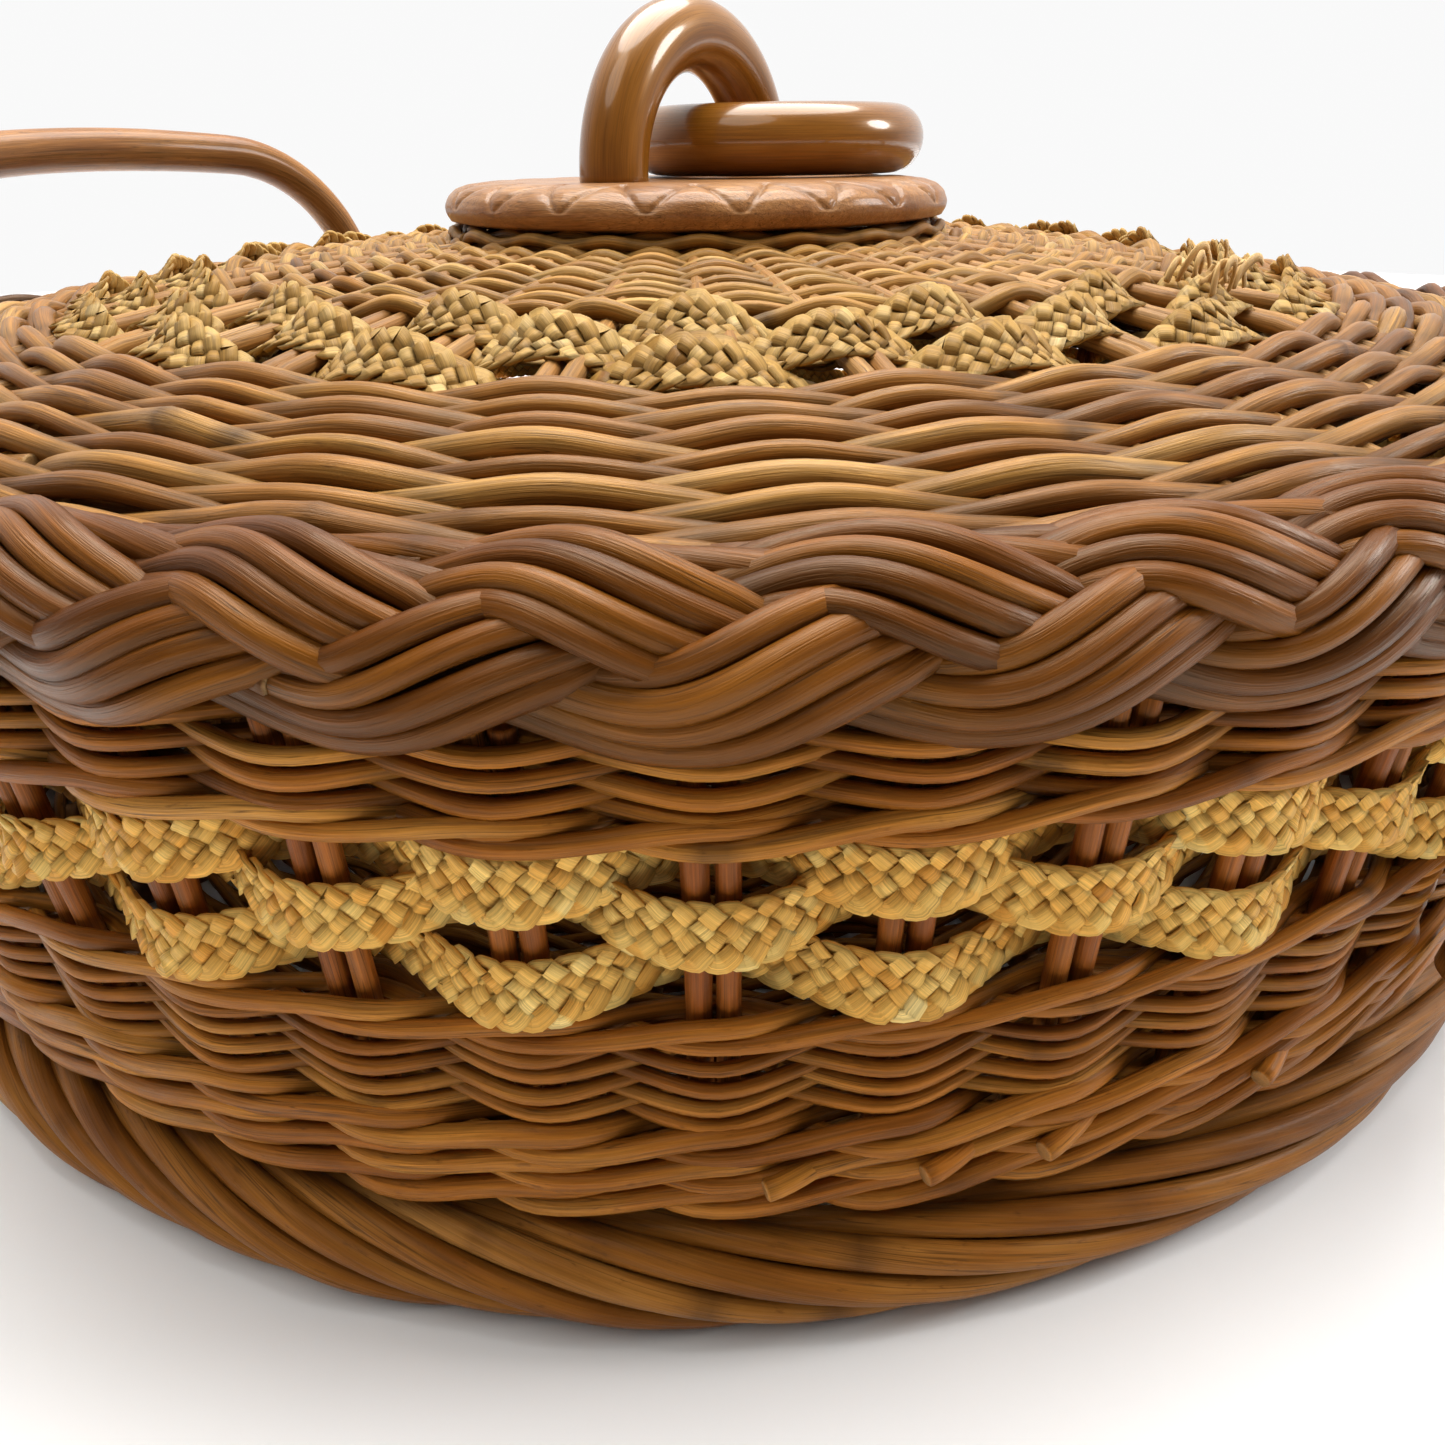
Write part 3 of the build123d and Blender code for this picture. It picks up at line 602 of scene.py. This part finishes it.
def wall_weaves():
    fine = STAKE_D / 2 + 1.0
    piece = Piece()
    for row in range(RIM_ROWS):
        level = RIM_TOP - RIM_PITCH * row
        plain_row(piece, wall, level, row % 2, STAKE_PAIRS, 0, fine, RIM_ROD, RIM_SAG)
    wale_row(piece, wall, RIM_WALE_Z, STAKE_PAIRS, 0, fine + 0.2, RIM_WALE_ROD, WALE_RISE)
    # The rim weave and its wale wear the lower wall's redder look: painted shade from the lid's overhang
    # above them.
    piece.build("rim_weave_rods", LOWER, "basket", "willow", "rim_weave")
    piece = Piece()
    wale_row(piece, wall, LOWER_WALE_Z, STAKE_PAIRS, 0, fine, LOWER_WALE_ROD, WALE_RISE)
    for row in range(LOWER_ROWS):
        level = LOWER_TOP - LOWER_PITCH * row
        plain_row(piece, wall, level, row % 2, STAKE_PAIRS, 0, fine, LOWER_ROD, LOWER_SAG)
    piece.build("lower_weave_rods", LOWER, "basket", "willow", "lower_weave")
    piece = Piece()
    for row in range(UPSETT_ROWS):
        level = UPSETT_TOP - UPSETT_PITCH * row
        reach = (STAKE_D + UPSETT_ROD) / 2 + 0.05
        wale_row(piece, wall, level, STAKE_PAIRS, 0, reach, UPSETT_ROD, UPSETT_RISE)
    stubs(piece)
    piece.build("upsett_rods", LOWER, "basket", "willow", "upsett_wale")


def stubs(piece):
    """Cut butts of rods that stand out of the upsett, all facing the same way."""
    places = [(-60.4, STUB_Z + 0.2), (-54.1, STUB_Z), (-49.1, STUB_Z + 0.3)]
    for i in range(7):
        places.append((-40 + 31 * i + RNG.uniform(-6, 6), STUB_Z + RNG.uniform(-1, 1)))
    for angle, level in places:
        x = np.linspace(0, 1, 12)
        t = radians(angle) + x * radians(5.0)
        z = level + 1.3 * x
        d = 4.9 - 7.0 * x**1.25
        path = wall(t, z, d)
        piece.tube(path, STUB_R, unit(path * [1, 1, 0]), 14, 1.0, 0.3, -0.35 * (x < 0.04), cut=0.35)


def straw_wall():
    """Three braids, each passing outside one pair of stakes and inside the next."""
    t = np.linspace(0, tau, STAKE_PAIRS * 24, endpoint=False)
    for row, (level, sag, width) in enumerate(WALL_STRAW):
        x = t * STAKE_PAIRS / tau
        wave = np.cos(pi * (x + row))
        centre = wall(t, level - sag * wave, 3.0 * wave - 0.1)
        out = unit(centre * [1, 1, 0])
        up = np.tile([0.0, 0.0, 1.0], (len(t), 1))
        across = unit(up - 0.12 * out * wave[:, None])
        piece = Piece()
        braid(piece, centre, across, width, BRAID_STRANDS, 6.4, 0.3, 0.7)
        node = f"straw_braid_{row + 1}"
        piece.build(f"{node}_strips", STRAW, "basket", "straw", node)


def foot():
    piece = Piece()
    twisted_ring(piece, 146.5, 7.1, 3.95, 5.0, 7, 3.8, 7, 0.4, radians(-30), 0.6)
    piece.build("foot_border_rods", FOOT, "basket", "willow", "foot_border")
    piece = Piece()
    twisted_ring(piece, 146.4, 78.35, 1.55, 1.1, 4, 2.1, 16, steps=900, sides=8, jitter=0.1)
    piece.build("rim_border_rods", WILLOW, "basket", "willow", "rim_border")


def base():
    piece = Piece()
    for row, r in enumerate(np.arange(45.0, 137.0, BASE_PITCH)):
        plain_row(piece, floor_of, r, row % 2, BASE_SPOKES, BASE_TURN, 3.2, BASE_ROD, steps=9, sides=6)
    piece.build("base_weave_rods", LOWER, "basket", "willow", "base_weave")
    piece = Piece()
    for row, r in enumerate(np.arange(22.0, 31.0, CENTRE_PITCH)):
        plain_row(piece, floor_of, r, row % 2, 4, 0, 5.3, BASE_ROD, steps=24, sides=6)
    for row, r in enumerate(np.arange(32.0, 44.0, CENTRE_PITCH)):
        reach = 5.0 - 1.8 * (r - 32) / 12
        plain_row(piece, floor_of, r, row % 2, BASE_SPOKES, BASE_TURN, reach, BASE_ROD, steps=9, sides=6)
    piece.build("base_centre_rods", LOWER, "basket", "willow", "base_centre_weave")
    for name in ("base_sticks_lower", "base_sticks_upper"):
        dress(name, STICK)


def dress(name, look):
    """Gives a CAD node that is kept its look."""
    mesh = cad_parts[name].data
    mesh.materials.clear()
    mesh.materials.append(look)


# The side handles.
def rounded(corners, radii, spacing=2.0):
    """Points along a line of straight runs with tangent arcs at its corners."""
    pts = [np.array(c, float) for c in corners]
    out = [pts[0]]
    for before, corner, after, r in zip(pts, pts[1:], pts[2:], radii):
        a, b = unit(before - corner), unit(after - corner)
        half = np.arccos(np.clip(a @ b, -1, 1)) / 2
        reach, centre = r / np.tan(half), corner + unit(a + b) * r / np.sin(half)
        u, v = unit(corner + a * reach - centre), unit(corner + b * reach - centre)
        sweep = np.arccos(np.clip(u @ v, -1, 1))
        side = unit(v - u * (u @ v))
        for s in np.linspace(0, sweep, 16):
            out.append(centre + r * (u * cos(s) + side * sin(s)))
    out.append(pts[-1])
    line = np.array(out)
    along = np.concatenate([[0], np.cumsum(np.linalg.norm(np.diff(line, axis=0), axis=1))])
    even = np.linspace(0, along[-1], int(along[-1] / spacing))
    return np.stack([np.interp(even, along, line[:, i]) for i in range(3)], -1)


def handles():
    foot_angle = radians(HANDLE_LEG_ANGLE)
    fx, fy = HANDLE_FOOT_R * cos(foot_angle), HANDLE_FOOT_R * sin(foot_angle)
    x, y, z = HANDLE_SHOULDER
    corners = [(fx, fy, HANDLE_FOOT_Z), (x, y, z), HANDLE_CROWN, (x, -y, z), (fx, -fy, HANDLE_FOOT_Z)]
    path = rounded(corners, HANDLE_RADII)
    for name, turn in (("right", 1), ("left", -1)):
        flip = np.array([turn, turn, 1.0])
        cane = path * flip
        along = np.arange(len(cane)) * 2.0
        swell, mark = knots(along, 0.35)
        piece = Piece()
        normal = np.tile(np.array([1.0, 0.0, 0.25]) * flip, (len(cane), 1))
        radius = HANDLE_D / 2 * (0.985 + wander(along, 0.008, 4, 0.004, 0.03) + 0.12 * swell)
        piece.tube(cane, radius, normal, 24, 1.0, 0.0, mark * 0.5, cut=0.5)
        piece.build(f"side_handle_{name}_cane", CANE, "basket", "handle_cane", f"side_handle_{name}")
        piece = Piece()
        for side in (-1, 1):
            foot_point = np.array([fx, side * fy, HANDLE_FOOT_Z])
            leg = np.array([x, side * y, z]) - foot_point
            axis = unit(leg)
            for middle_z in LASHING_Z:
                middle = foot_point + leg * ((middle_z - HANDLE_FOOT_Z) / leg[2])
                lashing(piece, middle, axis, flip)
        node = f"handle_lashings_{name}"
        piece.build(f"handle_lashing_{name}_cane", LID_STRAW, "basket", "handle_cane", node)
    dress("handle_pegs", PLAIN_WOOD)


def lashing(piece, middle, axis, flip):
    """Four turns of flat cane round a handle leg."""
    s = np.linspace(0, 1, 130)
    turn = s * tau * 4
    a = unit(np.cross(axis, [0.0, 0.0, 1.0]))
    b = np.cross(axis, a)
    out = a * np.cos(turn)[:, None] + b * np.sin(turn)[:, None]
    rise = (s - 0.5) * (LASHING_H - 2.0)
    path = middle + axis * rise[:, None] + out * (HANDLE_D / 2 + 0.4)
    piece.tube(path * flip, 1.0, out * flip, 8, 0.36)


# The lid.
def spokes():
    piece = Piece()
    r = np.linspace(*SPOKE_R, 34)
    for i in range(SPOKE_PAIRS):
        t0 = radians(SPOKE_TURN) + i * tau / SPOKE_PAIRS
        for side in (-1, 1):
            offset = side * PAIR_PITCH / 2 + wander(r, 0.1, 3, 0.005, 0.03)
            sunk = -0.7 * np.clip((r - 106) / 5, 0, 1)
            path = dome(t0 + 0 * r, r, sunk + wander(r, 0.08, 3, 0.01, 0.04))
            path = path + offset[:, None] * np.array([-sin(t0), cos(t0), 0.0])
            radius = STAKE_D / 2 * (RNG.normal(0.98, 0.03) + wander(r, 0.02, 3, 0.02, 0.08))
            piece.tube(path, radius, np.tile([0.0, 0.0, 1.0], (len(r), 1)), 10)
    piece.build("lid_spoke_rods", SPOKE, "lid", "stakes", "lid_spokes")


def packed(t, r, d):
    """Rows that lie on the weave and fill the gap below the disc."""
    return dome(t, r, d + PACKING_RISE)


def lid_weaves():
    piece = Piece()
    radii = np.arange(*FINE_R, FINE_PITCH)
    for row, r in enumerate(radii):
        plain_row(piece, dome, r, row % 2, SPOKE_PAIRS, SPOKE_TURN, 1.05, RNG.uniform(2.0, 2.5),
                  jitter=0.12, skew=0.02 * row)
    for row, r in enumerate(PACKING_R):
        plain_row(piece, packed, r, row % 2, SPOKE_PAIRS, SPOKE_TURN, 0.4, 2.2, jitter=0.1)
    plain_row(piece, dome, FINE_EDGE_R, len(radii) % 2, SPOKE_PAIRS, SPOKE_TURN, 1.8, 2.9, jitter=0.15)
    piece.build("lid_fine_weave_rods", FINE, "lid", "willow", "lid_fine_weave")
    piece = Piece()
    for row, r in enumerate(np.linspace(*COARSE_R, COARSE_ROWS)):
        plain_row(piece, dome, r, row % 2, SPOKE_PAIRS, SPOKE_TURN, 1.4, RNG.uniform(2.4, 3.3),
                  jitter=0.25, sides=10, steps=12, skew=0.03 * row)
    piece.build("lid_coarse_weave_rods", WILLOW, "lid", "willow", "lid_coarse_weave")


def straw_lid():
    """Three braids that rise over one pair of spokes as tilted humps, and dive under the next."""
    t = np.linspace(0, tau, SPOKE_PAIRS * 24, endpoint=False)
    for row, r in enumerate(LID_STRAW_R):
        x = (t - radians(SPOKE_TURN)) * SPOKE_PAIRS / tau + 0.15
        wave = np.cos(pi * (x + 1 + row))
        lift = 0.35 + 2.6 * wave
        centre = dome(t, r + wander(x, 0.25, 4, 0.05, 0.3), lift)
        tilt = np.radians(11 + 14 * wave)[:, None]
        up = unit(dome(t, r + 0 * t, lift + 1) - dome(t, r + 0 * t, lift))
        out = np.stack([np.cos(t), np.sin(t), 0 * t], -1)
        out = unit(out - up * np.sum(out * up, -1, keepdims=True))
        across = out * -np.cos(tilt) + up * np.sin(tilt)
        piece = Piece()
        braid(piece, centre, across, LID_STRAW_W, BRAID_STRANDS, 6.6, 0.34, 0.9)
        if row == 0:
            frayed(piece)
        node = f"lid_straw_braid_{row + 1}"
        piece.build(f"{node}_strips", LID_STRAW, "lid", "straw", node)


def frayed(piece):
    """Loose straw ends that curl out of the inner braid at one place."""
    for _ in range(15):
        t0, r0 = radians(-12.5 + RNG.uniform(-4.5, 4.5)), 92.0 + RNG.uniform(-3.0, 6.0)
        s = np.linspace(0, 1, 30)
        turns, size = RNG.uniform(2.0, 6.0), RNG.uniform(1.2, 2.6)
        heading = RNG.choice([-1, 1])
        height = 2.6 + size * 1.6 * s + size * np.sin(turns * s)
        sideways = heading * size * (1 - np.cos(turns * s)) + RNG.uniform(-3, 3) * s
        path = dome(t0 + sideways / r0, r0 + RNG.uniform(-2, 2) * s, height)
        normal = np.tile([cos(t0), sin(t0), 0.1], (len(s), 1))
        piece.tube(path, 1.0 * (1 - 0.45 * s), normal, 6, 0.3, 1.5, 0.8)


def plait():
    """The border: three strands of four rods, each crossing from edge to middle on top."""
    period = 3 * tau * PLAIT_R / PLAIT_UNITS
    hub, surface = (143.2, 79.9), 11.0
    middle, swing, shift = radians(31), 6.9, radians(-2.9)
    piece = Piece()
    for j in range(PLAIT_RODS):
        from_middle = j - (PLAIT_RODS - 1) / 2
        first = 3 * pi / 4 + pi * int(RNG.integers(0, 4))
        for a0, a1 in spans(first, first + tau * PLAIT_UNITS, pi, 7, 13):
            theta = np.arange(a0 - 0.5, a1 + 0.5, tau / 64)
            s = theta * period / tau
            w = swing * (np.cos(theta) + 0.09 * np.cos(3 * theta)) / 1.09
            ds, dw = period / tau, -swing * (np.sin(theta) + 0.27 * np.sin(3 * theta)) / 1.09
            size = np.hypot(ds, dw)
            over = np.sin(2 * theta)
            pinch = 1 - 0.2 * np.clip(-over, 0, 1)
            offset = from_middle * PLAIT_PITCH * pinch + wander(theta, 0.25, 4, 0.05, 0.3)
            s, w = s - offset * dw / size, w + offset * ds / size
            rho = 9.3 + 1.75 * over - 0.16 * from_middle**2 + wander(theta, 0.16, 4, 0.05, 0.3)
            beta = middle + w / surface
            t = s / PLAIT_R + shift
            r, z = hub[0] + rho * np.cos(beta), hub[1] + rho * np.sin(beta)
            path = np.stack([r * np.cos(t), r * np.sin(t), z], -1)
            out = np.stack([np.cos(beta) * np.cos(t), np.cos(beta) * np.sin(t), np.sin(beta)], -1)
            along = theta * period / tau
            swell, mark = knots(along, 0.35)
            thick = RNG.normal(1.0, 0.07) + wander(along, 0.04, 4, 0.01, 0.05) + 0.6 * swell
            # Painted shade where the rod passes under the other strands.
            hidden = np.clip(-over, 0, 1) * 0.7
            piece.tube(path, PLAIT_ROD / 2 * thick, out, 10, 0.88, None, mark, hidden, cut=0.5)
    twisted_ring(piece, 144.3, 85.4, 3.2, 3.0, 6, 3.4, 9, steps=500, sides=8)
    piece.build("lid_plait_rods", PLAIT, "lid", "willow", "lid_plait_border")


def centre_cross():
    for name in ("lid_centre_sticks_lower", "lid_centre_sticks_upper"):
        dress(name, STICK)
    dress("lid_under_plate", PLAIN_WOOD)
    dress("tenon_pegs", PLAIN_WOOD)


def disc():
    """The turned disc, with curved V cuts that meet in points round its upper edge."""
    profile = [(0.5, DISC_BOTTOM), (40.0, DISC_BOTTOM), (43.8, DISC_BOTTOM + 0.2),
               (45.2, DISC_BOTTOM + 0.9), (45.9, 107.2), (DISC_R, 108.4), (45.4, 109.8),
               (43.9, 111.0), (41.6, 111.7), (38.5, DISC_TOP), (33.0, DISC_TOP), (0.5, DISC_TOP)]
    line = np.array(profile)
    along = np.concatenate([[0], np.cumsum(np.linalg.norm(np.diff(line, axis=0), axis=1))])
    fine = np.concatenate([np.linspace(0, along[3], 12)[:-1], np.linspace(along[3], along[10], 84),
                           np.linspace(along[10], along[-1], 12)[1:]])
    r, z = (np.interp(fine, along, line[:, i]) for i in range(2))
    kernel = np.ones(5) / 5
    r[14:-14], z[14:-14] = (np.convolve(v, kernel, "same")[14:-14] for v in (r, z))
    t = np.linspace(0, tau, 900, endpoint=False)
    u = (t * DISC_PETALS / tau) % 1.0
    top, bottom = along[9] + 2.5, along[5] - 0.3
    v = np.clip((fine - bottom) / (top - bottom), -0.5, 1.5)[:, None]
    width_mm = tau * 45 / DISC_PETALS
    left = abs(u[None, :] - 0.5 * np.clip(v, 0, 1) ** 0.7) * width_mm
    right = abs(u[None, :] - 1 + 0.5 * np.clip(v, 0, 1) ** 0.7) * width_mm
    inside = ((v > 0) & (v < 1)).astype(float)
    near = np.minimum(left, right)
    depth = inside * (0.42 * np.exp(-((near / 0.6) ** 2)) + 0.26 * np.exp(-((near / 1.9) ** 2)))
    depth *= np.clip(1.3 - abs(v - 0.5) * 1.7, 0.0, 1.0)
    dr, dz = np.gradient(r), np.gradient(z)
    size = np.hypot(dr, dz)
    nr, nz = dz / size, -dr / size
    rr = r[:, None] - nr[:, None] * depth
    zz = z[:, None] - nz[:, None] * depth
    grid = np.stack([rr * np.cos(t), rr * np.sin(t), zz], -1)
    grain = np.stack([grid[..., 1], grid[..., 2], grid[..., 0]], -1) * [1.0, 1.0, 1.6]
    piece = Piece()
    piece.lathe(grid, grain)
    # Painted shade in the V cuts: the deeper the cut, the darker the wood is painted.
    piece.values[0][:, 2] = np.clip(depth / 1.2, 0, 1).ravel()
    piece.build("carved_disc_wood", CARVED, "lid", "carved_wood", "carved_disc")


def rings():
    """The half ring that stands in the disc, and the whole ring that hangs in it."""
    a = radians(ARCH_ANGLE)
    along_arch, over_arch = np.array([cos(a), sin(a), 0.0]), np.array([sin(a), -cos(a), 0.0])
    centre = np.array([*ARCH_CENTRE, DISC_TOP])
    s = np.linspace(0, pi, 90)
    arch = centre + RING_R * (np.cos(s)[:, None] * along_arch + np.sin(s)[:, None] * [0.0, 0.0, 1.0])
    leg = np.linspace(20, 0.3, 14)[:, None] * np.array([0.0, 0.0, -1.0])
    path = np.concatenate([arch[:1] + leg, arch, arch[-1:] + leg[::-1]])
    below = np.clip(DISC_TOP - path[:, 2], 0, 1.2) / 1.2
    piece = Piece()
    piece.tube(path, RING_TUBE_R - (RING_TUBE_R - 3.9) * below, over_arch, 36, 1.0, 0.0)
    piece.build("handle_arch_wood", LACQUER, "lid", "lacquered_wood", "handle_arch")
    b = radians(HANG_ANGLE)
    toward = np.array([cos(b), sin(b), 0.0])
    hub = np.array([*ARCH_CENTRE, LOOSE_RING_Z]) + RING_R * toward
    s = np.linspace(0, tau, 160, endpoint=False)
    aside = np.array([-sin(b), cos(b), 0.0])
    path = hub + RING_R * (np.cos(s)[:, None] * toward + np.sin(s)[:, None] * aside)
    piece = Piece()
    piece.tube(path, RING_TUBE_R, np.tile([0.0, 0.0, 1.0], (len(s), 1)), 36, 1.0, 0.0, 0.0, 0.0, True)
    piece.build("loose_ring_wood", LACQUER, "ring", "lacquered_wood", "loose_ring")


# The view, the floor and the light.
AZIMUTH, YAW, PITCH, ROLL = 27.69, 0.87, 27.8, -0.81
CAMERA_DISTANCE, CAMERA_HEIGHT, LENS = 0.225, 0.1166, 27.06
FLOOR_R, FLOOR_DROP, FLOOR_SIDES = 1.15, 0.0002, 128
SKY_BRIGHT_SIDE, SKY_STRENGTH = (-0.42, 0.8, 0.42), 0.95
SKY_GREYS = ((0.0, 0.1), (0.4, 0.18), (0.82, 1.0))
# Each light's name, azimuth, elevation, distance, size, power and colour.
LIGHTS = (
    ("top", 200, 74, 1.25, 1.3, 32, (1.0, 0.985, 0.96)),
    ("right", 118, 30, 1.2, 0.4, 7, (1.0, 1.0, 1.0)),
    ("left", -10, 60, 1.3, 0.8, 4, (1.0, 0.97, 0.92)),
)


def camera():
    """The photograph's viewpoint, with the lens that its rims' ellipses ask for."""
    azimuth, yaw, pitch, roll = (radians(v) for v in (AZIMUTH, YAW, PITCH, ROLL))
    near = Vector((sin(azimuth), -cos(azimuth), 0))
    right = Vector((cos(azimuth), sin(azimuth), 0))
    ahead = cos(yaw) * -near + sin(yaw) * right
    level = cos(yaw) * right - sin(yaw) * -near
    look = cos(pitch) * ahead - sin(pitch) * Vector((0, 0, 1))
    top = sin(pitch) * ahead + cos(pitch) * Vector((0, 0, 1))
    x = cos(roll) * level + sin(roll) * top
    y = -sin(roll) * level + cos(roll) * top
    place = near * CAMERA_DISTANCE + Vector((0, 0, CAMERA_HEIGHT))
    data = bpy.data.cameras.new("camera")
    data.lens, data.sensor_width = LENS, 36.0
    data.clip_start, data.clip_end = 0.005, 50.0
    obj = bpy.data.objects.new("camera", data)
    obj.matrix_world = Matrix((
        (x.x, y.x, -look.x, place.x), (x.y, y.y, -look.y, place.y),
        (x.z, y.z, -look.z, place.z), (0, 0, 0, 1)))
    bpy.context.scene.collection.objects.link(obj)
    bpy.context.scene.camera = obj


def area_light(name, azimuth, elevation, distance, size, power, colour):
    data = bpy.data.lights.new(name, "AREA")
    data.shape, data.size, data.energy, data.color = "DISK", size, power, colour
    obj = bpy.data.objects.new(name, data)
    a, e = radians(azimuth), radians(elevation)
    back = Vector((sin(a) * cos(e), -cos(a) * cos(e), sin(e)))
    obj.location = Vector((0, 0, 0.07)) + back * distance
    obj.rotation_mode = "QUATERNION"
    obj.rotation_quaternion = back.to_track_quat("Z", "Y")
    bpy.context.scene.collection.objects.link(obj)


def sky():
    """Light from all round, brightest behind the basket and dim in front of it."""
    world = bpy.data.worlds.new("studio")
    world.use_nodes = True
    nodes, links = world.node_tree.nodes, world.node_tree.links
    direction = nodes.new("ShaderNodeTexCoord").outputs["Generated"]
    dot = nodes.new("ShaderNodeVectorMath")
    dot.operation = "DOT_PRODUCT"
    dot.inputs[1].default_value = SKY_BRIGHT_SIDE
    links.new(direction, dot.inputs[0])
    greys = [(place, (grey, grey, grey, 1)) for place, grey in SKY_GREYS]
    shade = ramp(nodes, links, spread(nodes, links, dot.outputs["Value"], -1, 1), greys, "EASE")
    links.new(shade, nodes["Background"].inputs["Color"])
    nodes["Background"].inputs["Strength"].default_value = SKY_STRENGTH
    bpy.context.scene.world = world


def studio():
    mesh = bpy.data.meshes.new("floor")
    turns = np.linspace(0, tau, FLOOR_SIDES, endpoint=False)
    ring = [(FLOOR_R * cos(a), FLOOR_R * sin(a), -FLOOR_DROP) for a in turns]
    mesh.from_pydata(ring, [], [list(range(FLOOR_SIDES))])
    material, _, _, shader = tree_of("pale_floor")
    shader.inputs["Base Color"].default_value = (0.92, 0.92, 0.92, 1)
    shader.inputs["Roughness"].default_value = 0.8
    mesh.materials.append(material)
    floor = bpy.data.objects.new("floor", mesh)
    bpy.context.scene.collection.objects.link(floor)
    sky()
    for light in LIGHTS:
        area_light(*light)
    bpy.context.scene.view_settings.view_transform = "Standard"


camera()
studio()
stakes()
wall_weaves()
straw_wall()
foot()
base()
handles()
spokes()
lid_weaves()
straw_lid()
plait()
centre_cross()
disc()
rings()
